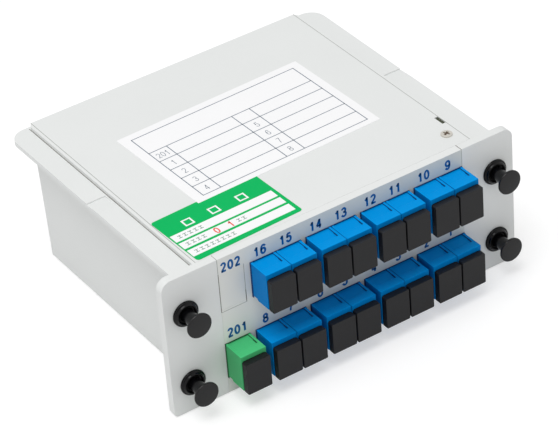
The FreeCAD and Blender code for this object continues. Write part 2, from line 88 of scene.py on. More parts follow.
def span(middle: float, reach: float) -> tuple[float, float]:
    """Both ends of what reaches equally far from its middle."""
    return middle - reach, middle + reach


def linear(hex_colour: str) -> tuple[float, float, float, float]:
    """Turn an sRGB hex colour into linear values.

    The sRGB curve is straight near black and a power of 2.4 above that.

    Args:
        hex_colour: Six hex digits, such as "e5e7e6".

    Returns:
        Red, green, blue and an alpha of one, linear.
    """
    parts = [int(hex_colour[k : k + 2], 16) / 255 for k in (0, 2, 4)]
    red, green, blue = (p / 12.92 if p <= 0.04045 else ((p + 0.055) / 1.055) ** 2.4 for p in parts)
    return red, green, blue, 1.0


def bare_tree(owner: bpy.types.Material | bpy.types.World) -> bpy.types.NodeTree:
    """Turn on the nodes of a material or a world, and clear them.

    Args:
        owner: The material or world.

    Returns:
        Its empty node tree.
    """
    owner.use_nodes = True
    owner.node_tree.nodes.clear()
    return owner.node_tree


def add_node(
    tree: bpy.types.NodeTree,
    kind: str,
    settings: dict[str | int, Any] | None = None,
    links: Links | None = None,
) -> bpy.types.Node:
    """Add a shader node, set its properties and inputs, and link what feeds it.

    Args:
        tree: Node tree that gets the node.
        kind: Blender's name of the node's type.
        settings: Values by property name, or by input name or number.
        links: Sockets that feed the node's inputs, by input name or number.

    Returns:
        The new node.
    """
    node = tree.nodes.new(kind)
    for key, value in (settings or {}).items():
        if isinstance(key, str) and hasattr(node, key):
            setattr(node, key, value)
        else:
            node.inputs[key].default_value = value
    for key, source in (links or {}).items():
        tree.links.new(source, node.inputs[key])
    return node


class Grain(Enum):
    """How a surface was made, as the size of its grain and the grain's depth, both in mm.

    Real grains are a few hundredths of a millimetre across. They are drawn coarser, so that they show.
    """

    SPARK_ERODED = (0.45, 0.012)
    POLISHED = (2.5, 0.004)
    MOULDED = (0.7, 0.008)
    PRINTED = (0.25, 0.002)
    DRAWN = (0.12, 0.004)


@dataclass(frozen=True)
class Finish:
    """A solid material with a slow drift of colour, a fine grain and a varying gloss.

    Attributes:
        name: The material's common name and how its surface was made.
        colour: Main sRGB colour.
        shade: sRGB colour that it drifts to.
        roughness: Middle of its roughness.
        grain: How the surface was made.
        specular: How strongly it mirrors, half being usual for plastic.
        metallic: One for a metal.
        drift_mm: Size of the patches of the colour's drift.
        tinted: Whether its mirror image takes on its own colour, as on dyed saturated plastic.
        pale: Lighter sRGB colour at the left end, a painted reflection of a lighter side of the room.
        pale_ends_mm: Where along X the pale colour starts and has gone.
        top: Painted light: sRGB colour of the faces that look up, lighter than the sides, if it is
            another one.
    """

    name: str
    colour: str
    shade: str
    roughness: float
    grain: Grain
    specular: float = 0.5
    metallic: float = 0.0
    drift_mm: float = 25.0
    tinted: bool = False
    pale: str = ""
    pale_ends_mm: tuple[float, float] = (0.0, 1.0)
    top: str = ""

    def material(self) -> bpy.types.Material:
        """The material of this finish, made the first time that it is asked for."""
        return bpy.data.materials.get(self.name) or self.build()

    def build(self) -> bpy.types.Material:
        """Make the material.

        Returns:
            The material, with its patterns on object coordinates.
        """
        material = bpy.data.materials.new(self.name)
        tree = bare_tree(material)
        place = add_node(tree, "ShaderNodeTexCoord").outputs["Object"]
        size_mm, depth_mm = self.grain.value
        drift, grain = (
            add_node(
                tree, "ShaderNodeTexNoise", {"Scale": 1 / (mm * MM), "Detail": detail}, {"Vector": place}
            )
            for mm, detail in ((self.drift_mm, DRIFT_DETAIL), (size_mm, GRAIN_DETAIL))
        )
        both = {"data_type": "RGBA", MIX_FIRST: linear(self.colour), MIX_SECOND: linear(self.shade)}
        colour = add_node(tree, "ShaderNodeMix", both, {MIX_SHARE: drift.outputs["Fac"]}).outputs[MIXED]
        # Two more colours, each ruled by one part of a vector: the pale one, a painted reflection, gives
        # way to the rest along X, and the top one, painted light, takes over as a face turns to look up.
        painted_reflection_ends = [mm * MM for mm in self.pale_ends_mm]
        for other, kind, vector, part, (start, end), own, rest in (
            (self.pale, "ShaderNodeTexCoord", "Object", "X", painted_reflection_ends, MIX_FIRST, MIX_SECOND),
            (self.top, "ShaderNodeNewGeometry", "True Normal", "Z", LOOKING_UP, MIX_SECOND, MIX_FIRST),
        ):
            if other:
                source = add_node(tree, kind).outputs[vector]
                along = add_node(tree, "ShaderNodeSeparateXYZ", links={"Vector": source}).outputs[part]
                ends = {"From Min": start, "From Max": end}
                share = add_node(tree, "ShaderNodeMapRange", ends, {"Value": along}).outputs[0]
                settings = {"data_type": "RGBA", own: linear(other)}
                links = {MIX_SHARE: share, rest: colour}
                colour = add_node(tree, "ShaderNodeMix", settings, links).outputs[MIXED]
        height = grain.outputs["Fac"]
        low, high = span(self.roughness, self.roughness * GLOSS_SPREAD)
        gloss = add_node(tree, "ShaderNodeMapRange", {"To Min": low, "To Max": high}, {"Value": height})
        relief = {"Strength": 1.0, "Distance": depth_mm * MM}
        bump = add_node(tree, "ShaderNodeBump", relief, {"Height": height})
        shader = add_node(
            tree,
            "ShaderNodeBsdfPrincipled",
            {
                "Specular IOR Level": self.specular,
                "Specular Tint": linear(self.colour) if self.tinted else WHITE,
                "Metallic": self.metallic,
            },
            {"Base Color": colour, "Roughness": gloss.outputs[0], "Normal": bump.outputs[0]},
        )
        add_node(tree, "ShaderNodeOutputMaterial", links={"Surface": shader.outputs[0]})
        return material


# The case: light grey ABS from a spark-eroded mould, so it is satin, with a fine grain.
CASE_ABS = Finish("moulded light grey ABS", "e4e6e5", "e0e2e1", 0.48, Grain.SPARK_ERODED, specular=0.4)
# The plate between the ears: the same plastic from a polished mould. Its face is painted darker than the
# cover and paler at its left end, a painted reflection of the room, while its upper edge is as light as
# the cover.
PLATE_ABS = Finish(
    "polished grey ABS with painted reflection",
    "d3d6d2",
    "cfd2cf",
    0.3,
    Grain.POLISHED,
    specular=0.4,
    pale="e2e3df",
    pale_ends_mm=(-44, -22),
    top="e3e5e4",
)
# Adapters: polybutylene terephthalate, dyed through, so even its sheen is coloured. The sides are painted
# darker than the tops, painted shade and painted light for how the light falls on them.
BLUE_PBT = Finish(
    "moulded blue PBT", "007cc8", "0078c2", 0.42, Grain.MOULDED, specular=0.08, tinted=True, top="0092de"
)
GREEN_PBT = Finish(
    "moulded green PBT", "48b070", "43aa6b", 0.4, Grain.MOULDED, specular=0.15, tinted=True, top="4cc47c"
)
# Painted shade: the same plastic far darker, on bars at the plate, along a top's relief and in a pair's
# slit.
BLUE_STEP_SHADE = Finish("shadowed blue step", "003a78", "003570", 0.6, Grain.MOULDED, specular=0.2)
GREEN_STEP_SHADE = Finish("shadowed green step", "1c5a34", "1a5531", 0.6, Grain.MOULDED, specular=0.2)
# Dust caps: soft black polyethylene, matt, so it looks dark grey, with a faint bloom.
CAP_PE = Finish("matt black polyethylene", "19191b", "131315", 0.46, Grain.SPARK_ERODED, specular=0.3)
# Latches: black nylon from a polished mould, whose knobs mirror the room. The grommets get a darker, less
# shiny copy of it, as painted shade.
LATCH_NYLON = Finish("glossy black nylon", "0a0a0c", "070709", 0.17, Grain.POLISHED, specular=0.36)
SHADED_GROMMET_NYLON = Finish("black nylon grommet with painted shade", "070709", "050507", 0.2, Grain.POLISHED, specular=0.2)
# Screw: nickel-plated steel, warm and bright. Its recess is painted brown as painted shade.
NICKEL_STEEL = Finish("nickel plated steel", "d6d2ca", "c6c2ba", 0.3, Grain.DRAWN, metallic=1.0)
RECESS_SHADE = Finish("painted shade in screw recess", "5e4c3e", "544438", 0.5, Grain.DRAWN, specular=0.3)
# Painted shade: a dull, dark block in the cover's shallow notch, for the dim inside of the case seen
# through it.
NOTCH_SHADE = Finish("painted shade in the notch", "565a4c", "4e5246", 0.7, Grain.SPARK_ERODED, specular=0.1)
# Labels: satin paper film. Its inks lie flat on it and share its soft shine.
LABEL_FILM = Finish("satin white label film", "f7f7f8", "f4f4f5", 0.42, Grain.PRINTED)
GREEN_FILM = Finish(
    "green printed label film", "00b860", "00b25c", 0.42, Grain.PRINTED, specular=0.12, tinted=True
)
GREY_INK = Finish("printed grey ink", "76818e", "707b88", 0.5, Grain.PRINTED)
SAGE_INK = Finish("printed grey green ink", "8fa79b", "879f93", 0.5, Grain.PRINTED)
RED_INK = Finish("stamped red ink", "ee5a3c", "e65236", 0.5, Grain.PRINTED)
# Port numbers: a thin, even film of pad printing ink, as glossy as the plate.
BLUE_INK = Finish("pad printed blue ink", "005a9c", "005494", 0.42, Grain.PRINTED, specular=0.3)
# A hairline gap between two mouldings, seen as its own shade: deep where it is open, else faint.
SEAM_SHADE = Finish("shaded hairline gap", "7c7973", "75726c", 0.8, Grain.SPARK_ERODED, specular=0.1)
FAINT_SHADE = Finish("faint hairline gap", "b4b7b3", "adb0ac", 0.8, Grain.SPARK_ERODED, specular=0.1)
# Inside: glossy ground ceramic sleeves, connector housings, dull jacketed fibres, the chip's drawn
# steel housing with a soft metal shine, and dull rubber boots.
ZIRCONIA = Finish("ground white zirconia", "efeeea", "ebeae6", 0.22, Grain.POLISHED, specular=0.9)
CONNECTOR_PBT = Finish("moulded connector PBT", "1c74c4", "1a6eba", 0.4, Grain.MOULDED)
FIBRE_PVC = Finish("white PVC fibre jacket", "eeeeea", "e8e8e4", 0.5, Grain.MOULDED)
MODULE_STEEL = Finish("drawn stainless steel", "b9b9bb", "b0b0b2", 0.33, Grain.DRAWN, metallic=1.0)
BOOT_RUBBER = Finish("black silicone rubber", "161616", "121212", 0.7, Grain.MOULDED, specular=0.4)

SLOT_FINISHES: dict[str, Finish] = {
    "shell_plastic": CASE_ABS,
    "plate_plastic": PLATE_ABS,
    "adapter_blue": BLUE_PBT,
    "adapter_green": GREEN_PBT,
    "cap_black": CAP_PE,
    "latch_black": LATCH_NYLON,
    "screw_nickel": NICKEL_STEEL,
    "label_white": LABEL_FILM,
    "label_green": GREEN_FILM,
    "sleeve_ceramic": ZIRCONIA,
    "connector_body": CONNECTOR_PBT,
    "fibre_jacket": FIBRE_PVC,
    "module_steel": MODULE_STEEL,
    "boot_rubber": BOOT_RUBBER,
}


def paint(piece: Piece, finish: Finish) -> Piece:
    """Give a whole piece one finish.

    Args:
        piece: New piece or carried-over node.
        finish: What it gets.

    Returns:
        The same piece.
    """
    piece.data.materials.clear()
    piece.data.materials.append(finish.material())
    return piece


# Meshes ---------------------------------------------------------------------------------------

# A rounding takes this share of a leg at most. A pen's arc and a label's corner have these many points.
LEG_SHARE = 0.45
ARC_POINTS, CORNER_POINTS = 33, 9
# A digit's width and pitch over its height, to which the pen's width is added.
DIGIT_WIDTH, DIGIT_PITCH = 0.4, 0.49
# Points of a carried-over node that are nearer than this are one. Edges sharper than the first angle
# are rounded, and edges sharper than the second are shaded as edges.
WELD = 2e-6
SOFT_ANGLE, SHARP_ANGLE = math.radians(30), math.radians(40)


def new_piece(
    name: str, solid: Solid, finish: Finish, body: str = ROOT, stands_for: str = ""
) -> Piece:
    """Make a piece that faces outwards, let it ride on a body and give it its finish.

    The signed volume, a sixth of the sum of a . (b x c) over each face's fan of triangles, says which
    way the faces look.

    Args:
        name: The piece's name.
        solid: Its points, in the row frame, and the corner numbers of each face.
        finish: Its finish.
        body: Body that it moves with.
        stands_for: Carried-over node that it replaces, if any.

    Returns:
        The new object, at the origin.
    """
    points = np.asarray(solid[0], float)
    loops = [list(map(int, face)) for face in solid[1]]
    fans = np.array([(loop[0], *edge) for loop in loops for edge in zip(loop[1:], loop[2:])])
    a, b, c = (points[fans[:, k]] - points.mean(0) for k in range(3))
    if (a * np.cross(b, c)).sum() < 0:
        loops = [loop[::-1] for loop in loops]
    mesh = bpy.data.meshes.new(name)
    mesh.from_pydata(points.tolist(), [], loops)
    mesh.validate()
    piece = bpy.data.objects.new(name, mesh)
    bpy.context.scene.collection.objects.link(piece)
    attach(piece, body)
    if stands_for:
        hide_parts(stands_for)
    return paint(piece, finish)


def grid_faces(rows: int, columns: int, whole: bool = False) -> Array:
    """Quads of a grid that closes on itself along its columns, and along its rows too if it is whole.

    The corner numbers of a quad are i*c+j, i*c+j+1, (i+1)*c+j+1 and (i+1)*c+j, with j+1 taken modulo the
    columns c and i+1 modulo the rows.

    Args:
        rows: Number of rows of points.
        columns: Number of points in each closed row.
        whole: Whether the last row joins the first.

    Returns:
        Array of shape (quads, 4).
    """
    i, j = np.meshgrid(np.arange(rows if whole else rows - 1), np.arange(columns), indexing="ij")
    this, after = i * columns, (i + 1) % rows * columns
    beside = (j + 1) % columns
    return np.stack([this + j, this + beside, after + beside, after + j], -1).reshape(-1, 4)


def through(rings: Array, whole: bool = False) -> Solid:
    """Solid through closed rings of points, with a flat cap at each end unless it is whole.

    Args:
        rings: Array of shape (rings, points, 3).
        whole: Whether the last ring joins the first.

    Returns:
        Points and faces.
    """
    rows, count = rings.shape[:2]
    faces = grid_faces(rows, count, whole).tolist()
    if not whole:
        faces += [list(range(count))[::-1], [(rows - 1) * count + k for k in range(count)]]
    return rings.reshape(-1, 3), faces


def rounded(profile: Array, radius: float, steps: int = 4) -> Array:
    """Round the inner corners of an open profile.

    Each corner b gives way to the curve (1-t)^2 a + 2t(1-t) b + t^2 c, where a and c lie on its two
    legs at the radius from b, or at LEG_SHARE of the leg's length if that is less.

    Args:
        profile: Array of shape (n, 2).
        radius: How far from a corner its rounding starts.
        steps: Points in each rounding, less one.

    Returns:
        The profile with its rounded corners.
    """
    before, corner, after = profile[:-2], profile[1:-1], profile[2:]
    a, c = (
        corner + leg * np.minimum(radius / np.linalg.norm(leg, axis=1, keepdims=True), LEG_SHARE)
        for leg in (before - corner, after - corner)
    )
    t = np.linspace(0, 1, steps + 1)[None, :, None]
    curves = (1 - t) ** 2 * a[:, None] + 2 * t * (1 - t) * corner[:, None] + t**2 * c[:, None]
    return np.vstack([profile[:1], curves.reshape(-1, 2), profile[-1:]])


def turned(profile: Array, centre: Vector, steps: int = 64) -> Solid:
    """Surface of revolution round a line along Y.

    A point is centre + (r cos a, d, r sin a) for each (r, d) of the profile, whose first and last
    points lie on the axis and become one pole each.

    Args:
        profile: Array of shape (n, 2) of radius and distance along Y, from one pole to the other.
        centre: Point of the axis from which the distances count.
        steps: Points round a circle.

    Returns:
        Points and faces, facing outwards if the profile runs from the front pole to the rear one.
    """
    angle = np.linspace(0, 2 * math.pi, steps, endpoint=False)
    radius, along = profile[1:-1, 0][:, None], profile[1:-1, 1][:, None]
    ring = np.stack([radius * np.cos(angle), along + 0 * angle, radius * np.sin(angle)], -1)
    ring, poles = ring.reshape(-1, 3), profile[[0, -1], 1][:, None] * (0, 1, 0)
    rows, hub = len(profile) - 2, np.full(steps, len(ring))
    here = np.arange(steps)
    beside, last = (here + 1) % steps, (rows - 1) * steps
    fans = np.stack([hub, here, beside, hub + 1, last + beside, last + here], -1).reshape(-1, 3)
    faces = [*grid_faces(rows, steps)[:, ::-1], *fans]
    return np.vstack([ring, poles]) + np.array(centre), faces


def revolved(
    loop: Array, centre: Vector, start: float = 0.0, sweep: float = 2 * math.pi, steps: int = 64
) -> Solid:
    """Solid ring, or a sector of one, of a closed profile turned round a line along Y.

    A point is centre + (r cos a, d, r sin a) for each (r, d) of the loop. A sector gets a flat cap at
    each end.

    Args:
        loop: Array of shape (n, 2) of radius and distance along Y; the last point joins the first.
        centre: Point of the axis from which the distances count.
        start: Angle of the first end.
        sweep: Angle from there to the other end.
        steps: Points along the whole sweep.

    Returns:
        Points and faces.
    """
    whole = sweep >= 2 * math.pi
    angle = np.linspace(start, start + sweep, steps, endpoint=not whole)[:, None]
    radius, along = loop[:, 0], loop[:, 1]
    rings = np.stack([radius * np.cos(angle), along + 0 * angle, radius * np.sin(angle)], -1)
    return through(rings + np.array(centre), whole)


def joined(parts: Iterable[Solid]) -> Solid:
    """Put several solids into one mesh, each one's corner numbers raised by the points before it.

    Args:
        parts: The solids.

    Returns:
        Points and faces of them all.
    """
    points, faces, count = [], [], 0
    for some, theirs in parts:
        points.append(some)
        faces += [np.asarray(face) + count for face in theirs]
        count += len(some)
    return np.vstack(points), faces


def blocks(bounds: Sequence[Bar] | Array) -> Solid:
    """Closed boxes from their bounds.

    Each corner is a choice of one x of a box's two, one y of its two and one z of its two.

    Args:
        bounds: Rows of x0, x1, y0, y1, z0, z1.

    Returns:
        Points of shape (8n, 3) and faces of shape (6n, 4).
    """
    x0, x1, y0, y1, z0, z1 = np.asarray(bounds, float).T
    around = np.stack([np.stack([x0, x1, x1, x0], 1), np.stack([y0, y0, y1, y1], 1)], -1)
    levels = [np.dstack([around, np.repeat(z[:, None], 4, 1)]) for z in (z0, z1)]
    points = np.concatenate(levels, 1).reshape(-1, 3)
    one = np.array([[3, 2, 1, 0], [4, 5, 6, 7], [0, 1, 5, 4], [1, 2, 6, 5], [2, 3, 7, 6], [3, 0, 4, 7]])
    return points, (one[None] + 8 * np.arange(len(x0))[:, None, None]).reshape(-1, 4)


def arc(
    x: float,
    y: float,
    reach_x: float,
    reach_y: float,
    start: float = 0,
    end: float = 360,
    count: int = ARC_POINTS,
) -> Array:
    """Points (x + reach_x cos a, y + reach_y sin a) of an ellipse, between two angles in degrees."""
    angle = np.radians(np.linspace(start, end, count))
    return np.stack([x + reach_x * np.cos(angle), y + reach_y * np.sin(angle)], -1)


def pen_strokes() -> dict[str, list[Array]]:
    """Draw the middle lines of the pen's strokes for each digit, in a cell from 0 to 1 both ways.

    Returns:
        Each digit's strokes, as arrays of shape (n, 2).
    """
    line = np.array
    six = [arc(0.5, 0.31, 0.5, 0.31), arc(0.56, 0.5, 0.56, 0.5, 38, 190)]
    return {
        "0": [arc(0.5, 0.5, 0.5, 0.5)],
        "1": [line([(0.62, 1.07), (0.62, -0.07)]), line([(0.12, 0.72), (0.42, 0.82), (0.62, 1.0)])],
        "2": [
            np.vstack([arc(0.48, 0.73, 0.46, 0.27, 170, -38), [(0.05, 0.0)]]),
            line([(-0.06, 0), (1.06, 0)]),
        ],
        "3": [
            arc(0.48, 0.76, 0.43, 0.24, 165, -82),
            arc(0.48, 0.27, 0.5, 0.27, 86, -165),
            line([(0.3, 0.53), (0.56, 0.53)]),
        ],
        "4": [
            line([(0.72, 1.02), (0.0, 0.27)]),
            line([(-0.08, 0.26), (1.1, 0.26)]),
            line([(0.74, 1.07), (0.74, -0.07)]),
        ],
        "5": [
            line([(0.14, 1.0), (0.98, 1.0)]),
            line([(0.2, 1.0), (0.08, 0.5)]),
            arc(0.47, 0.33, 0.51, 0.33, 142, -165),
        ],
        "6": six,
        "7": [
            line([(0.0, 1.0), (1.06, 1.0)]),
            line([(0.98, 1.0), (0.62, 0.55), (0.44, 0.22), (0.36, -0.07)]),
        ],
        "8": [arc(0.5, 0.765, 0.42, 0.235), arc(0.5, 0.27, 0.5, 0.27)],
        "9": [1 - stroke for stroke in six],
    }


PEN_STROKES = pen_strokes()


def flat_stroke(path: Array, width: float, thickness: float) -> Solid:
    """Flat bar along a pen's path, with mitred corners.

    The bar's sides stand off from each point along the mean of its two legs' normals, by half the
    width over the cosine of half the turn there.

    Args:
        path: Array of shape (n, 2); it closes on itself if its ends meet.
        width: Width of the bar.
        thickness: Height of the bar over its plane.

    Returns:
        Points and faces.
    """
    whole = bool(np.allclose(path[0], path[-1]))
    path = path[:-1] if whole else path
    ahead = np.roll(path, -1, 0) - path
    ahead /= np.linalg.norm(ahead, axis=1, keepdims=True)
    behind = np.roll(ahead, 1, 0)
    if not whole:
        ahead[-1], behind[0] = behind[-1], ahead[0]
    along = ahead + behind
    along /= np.linalg.norm(along, axis=1, keepdims=True)
    reach = width / 2 / (along * ahead).sum(1, keepdims=True)
    side = np.stack([-along[:, 1], along[:, 0]], -1) * reach
    corners = np.stack([path + side, path + side, path - side, path - side], 1)
    levels = np.broadcast_to(np.array([0, thickness, thickness, 0]), corners.shape[:2])
    return through(np.dstack([corners, levels]), whole)


def moved(solid: Solid, place: Matrix) -> Solid:
    """Take a solid from a frame of its own to the row frame: turn its points, then shift them."""
    matrix = np.array(place)
    return solid[0] @ matrix[:3, :3].T + matrix[:3, 3], solid[1]


def lettering(words: Iterable[tuple[str, Matrix]], height_mm: float, ink_mm: float, pen: float) -> Solid:
    """Digits drawn with a flat pen, in the middle over each word's own origin.

    Args:
        words: Each word and the matrix that takes it from its own flat frame to the row frame.
        height_mm: Height of a digit.
        ink_mm: How far the digits stand out of their frame's plane.
        pen: Width of the pen, as a share of the height.

    Returns:
        Points and faces of all the words.
    """
    width, pitch, height = DIGIT_WIDTH + pen, DIGIT_PITCH + pen, height_mm * MM
    solids = []
    for word, place in words:
        for k, digit in enumerate(word):
            left = (k - len(word) / 2) * pitch + (pitch - width) / 2
            for stroke in PEN_STROKES[digit]:
                path = (stroke * (width - pen, 1 - pen) + pen / 2 + (left, 0)) * height
                solids.append(moved(flat_stroke(path, pen * height, ink_mm * MM), place))
    return joined(solids)


def flat_print(rectangles_mm: Iterable[Bar], place: Matrix, ink_mm: float) -> Solid:
    """Flat printed rectangles, each with its x0, x1, y0 and y1 in a flat frame."""
    return moved(blocks(np.array([(*sides, 0.0, ink_mm) for sides in rectangles_mm]) * MM), place)


def soften(
    piece: Piece, width_mm: float, segments: int = 2, where: Callable[[Array], Array] | None = None
) -> None:
    """Round a piece's edges with live modifiers.

    Args:
        piece: Carried-over node or new piece.
        width_mm: Width of the rounding.
        segments: Faces across it.
        where: Says for an array of points which ones the rounded edges may run between; all if left out.
    """
    weld = piece.modifiers.new("weld", "WELD")
    weld.merge_threshold = WELD
    bevel = piece.modifiers.new("soft edges", "BEVEL")
    bevel.width, bevel.segments = width_mm * MM, segments
    bevel.limit_method, bevel.angle_limit = "ANGLE", SOFT_ANGLE
    bevel.harden_normals = True
    if where is not None:
        flat = np.empty(len(piece.data.vertices) * 3)
        piece.data.vertices.foreach_get("co", flat)
        group = piece.vertex_groups.new(name="soft edges")
        group.add(np.flatnonzero(where(flat.reshape(-1, 3))).tolist(), 1.0, "REPLACE")
        bevel.limit_method, bevel.vertex_group = "VGROUP", group.name


def smooth(piece: Piece) -> None:
    """Shade a piece as a curved surface that keeps its sharp edges."""
    piece.data.polygons.foreach_set("use_smooth", [True] * len(piece.data.polygons))
    piece.data.set_sharp_from_angle(angle=SHARP_ANGLE)


def middle_of(node: str) -> Vector:
    """Middle of a carried-over node's box."""
    low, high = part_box(node)
    return (low + high) / 2


def plate_face() -> float:
    """Where the front plate's face lies along Y."""
    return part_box("front_plate")[0].y


# Sub-assemblies -------------------------------------------------------------------------------


class Assembly(Protocol):
    """A sub-assembly that makes or dresses its pieces."""

    def build(self) -> list[Piece]:
        """Make and dress the pieces, and return them."""


@dataclass
class Case(Assembly):
    """Base, cover, plate and blank, with rounded edges and hairline gaps where the mouldings meet.

    Half widths count from the middle, and drops and depths from the cover's top down.
    """

    ear_edge_mm: float = 0.5
    ear_band_mm: float = 6.0
    ear_face_mm: float = 0.2
    latch_clear_mm: float = 5.0
    plate_half_mm: float = 45.3
    body_half_mm: float = 52.0
    flange_drop_mm: float = 1.2
    flange_gap_ends_mm: tuple[float, float] = (0.5, 1.0)
    blank_gap_mm: float = 4.5
    notch_w_mm: float = 1.4
    notch_l_mm: float = 4.3
    notch_from_face_mm: float = 17.4
    notch_dim_mm: tuple[float, float] = (1.5, 0.45)
    notch_inset_mm: float = 0.02
    ink_mm: float = 0.012
    seam_mm: float = 0.24

    def build(self) -> list[Piece]:
        """Finish the carried-over mouldings, shade their gaps and dim the opening.

        Returns:
            The mouldings and the new pieces.
        """
        nodes = frame["nodes"]
        pieces = [paint(nodes[name], CASE_ABS) for name in ("base_shell", "cover")]
        pieces += [paint(nodes[name], PLATE_ABS) for name in ("front_plate", "blank_plug")]
        soften(nodes["base_shell"], self.ear_edge_mm, segments=3, where=self.ear_outline)
        return pieces + self.gaps() + [self.opening()]

    def ear_outline(self, points: Array) -> Array:
        """Tell which points lie on the outer outline of the ears' front faces.

        They lie near the sides and the front face, and away from the latches' holes.

        Args:
            points: Array of shape (n, 3).

        Returns:
            Array of n true or false values.
        """
        low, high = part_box("base_shell")
        found = np.abs(points[:, 0]) > high.x - self.ear_band_mm * MM
        for name in LATCHES:
            centre = middle_of("latch_plunger_" + name)
            away = np.hypot(points[:, 0] - centre.x, points[:, 2] - centre.z)
            found &= away > self.latch_clear_mm * MM
        return found & (points[:, 1] < low.y + self.ear_face_mm * MM)

    def gaps(self) -> list[Piece]:
        """Shade the hairline gaps between cover and rim, plate and ears, and round the blank.

        Each gap is x0, x1, y0, y1, z0, z1 of a bar that lies along it.

        Returns:
            The pieces.
        """
        cover_low, cover_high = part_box("cover")
        blank_low, blank_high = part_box("blank_plug")
        face, top = plate_face(), cover_high.z
        side = self.plate_half_mm * MM
        ink, half = self.ink_mm * MM, self.seam_mm * MM / 2

        def on_top(x: float, start: float, end: float) -> Bar:
            """Bar from front to rear on the upper face."""
            return *span(x, half), start, end, *span(top, ink)

        def down_front(x: float, low: float, high: float) -> Bar:
            """Bar from low to high on the front face."""
            return *span(x, half), *span(face, ink), low, high

        front, rear = (mm * MM for mm in self.flange_gap_ends_mm)
        ledge = cover_low.y + front, cover_high.y - rear, *span(top - self.flange_drop_mm * MM, ink)
        body = self.body_half_mm * MM + half
        open_to = blank_low.z + self.blank_gap_mm * MM
        deep = [
            (*span(-body, half), *ledge),
            (*span(body, half), *ledge),
            on_top(side, face, cover_low.y),
            down_front(-side, blank_low.z, blank_high.z),
            down_front(blank_high.x, blank_low.z, open_to),
        ]
        faint = [
            on_top(cover_low.x, cover_low.y, cover_high.y),
            on_top(cover_high.x, cover_low.y, cover_high.y),
            on_top(-side, face, cover_low.y),
            down_front(-side, blank_high.z, top),
            down_front(side, blank_low.z, top),
            down_front(blank_high.x, open_to, blank_high.z),
            (blank_low.x, blank_high.x, *span(face, ink), *span(blank_low.z, half)),
        ]
        return [
            new_piece("hairline_gaps", blocks(deep), SEAM_SHADE),
            new_piece("faint_gaps", blocks(faint), FAINT_SHADE),
        ]

    def opening(self) -> Piece:
        """Put a block of painted shade under the notch in the cover's side, for the dim inside of the
        case.

        Returns:
            The piece.
        """
        high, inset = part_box("cover")[1], self.notch_inset_mm * MM
        middle = plate_face() + self.notch_from_face_mm * MM
        reach = self.notch_l_mm / 2 * MM - inset
        low, top = (high.z - depth * MM for depth in self.notch_dim_mm)
        bar = (high.x - self.notch_w_mm * MM + inset, high.x, *span(middle, reach), low, top)
        return new_piece("notch_shade", blocks([bar]), NOTCH_SHADE)


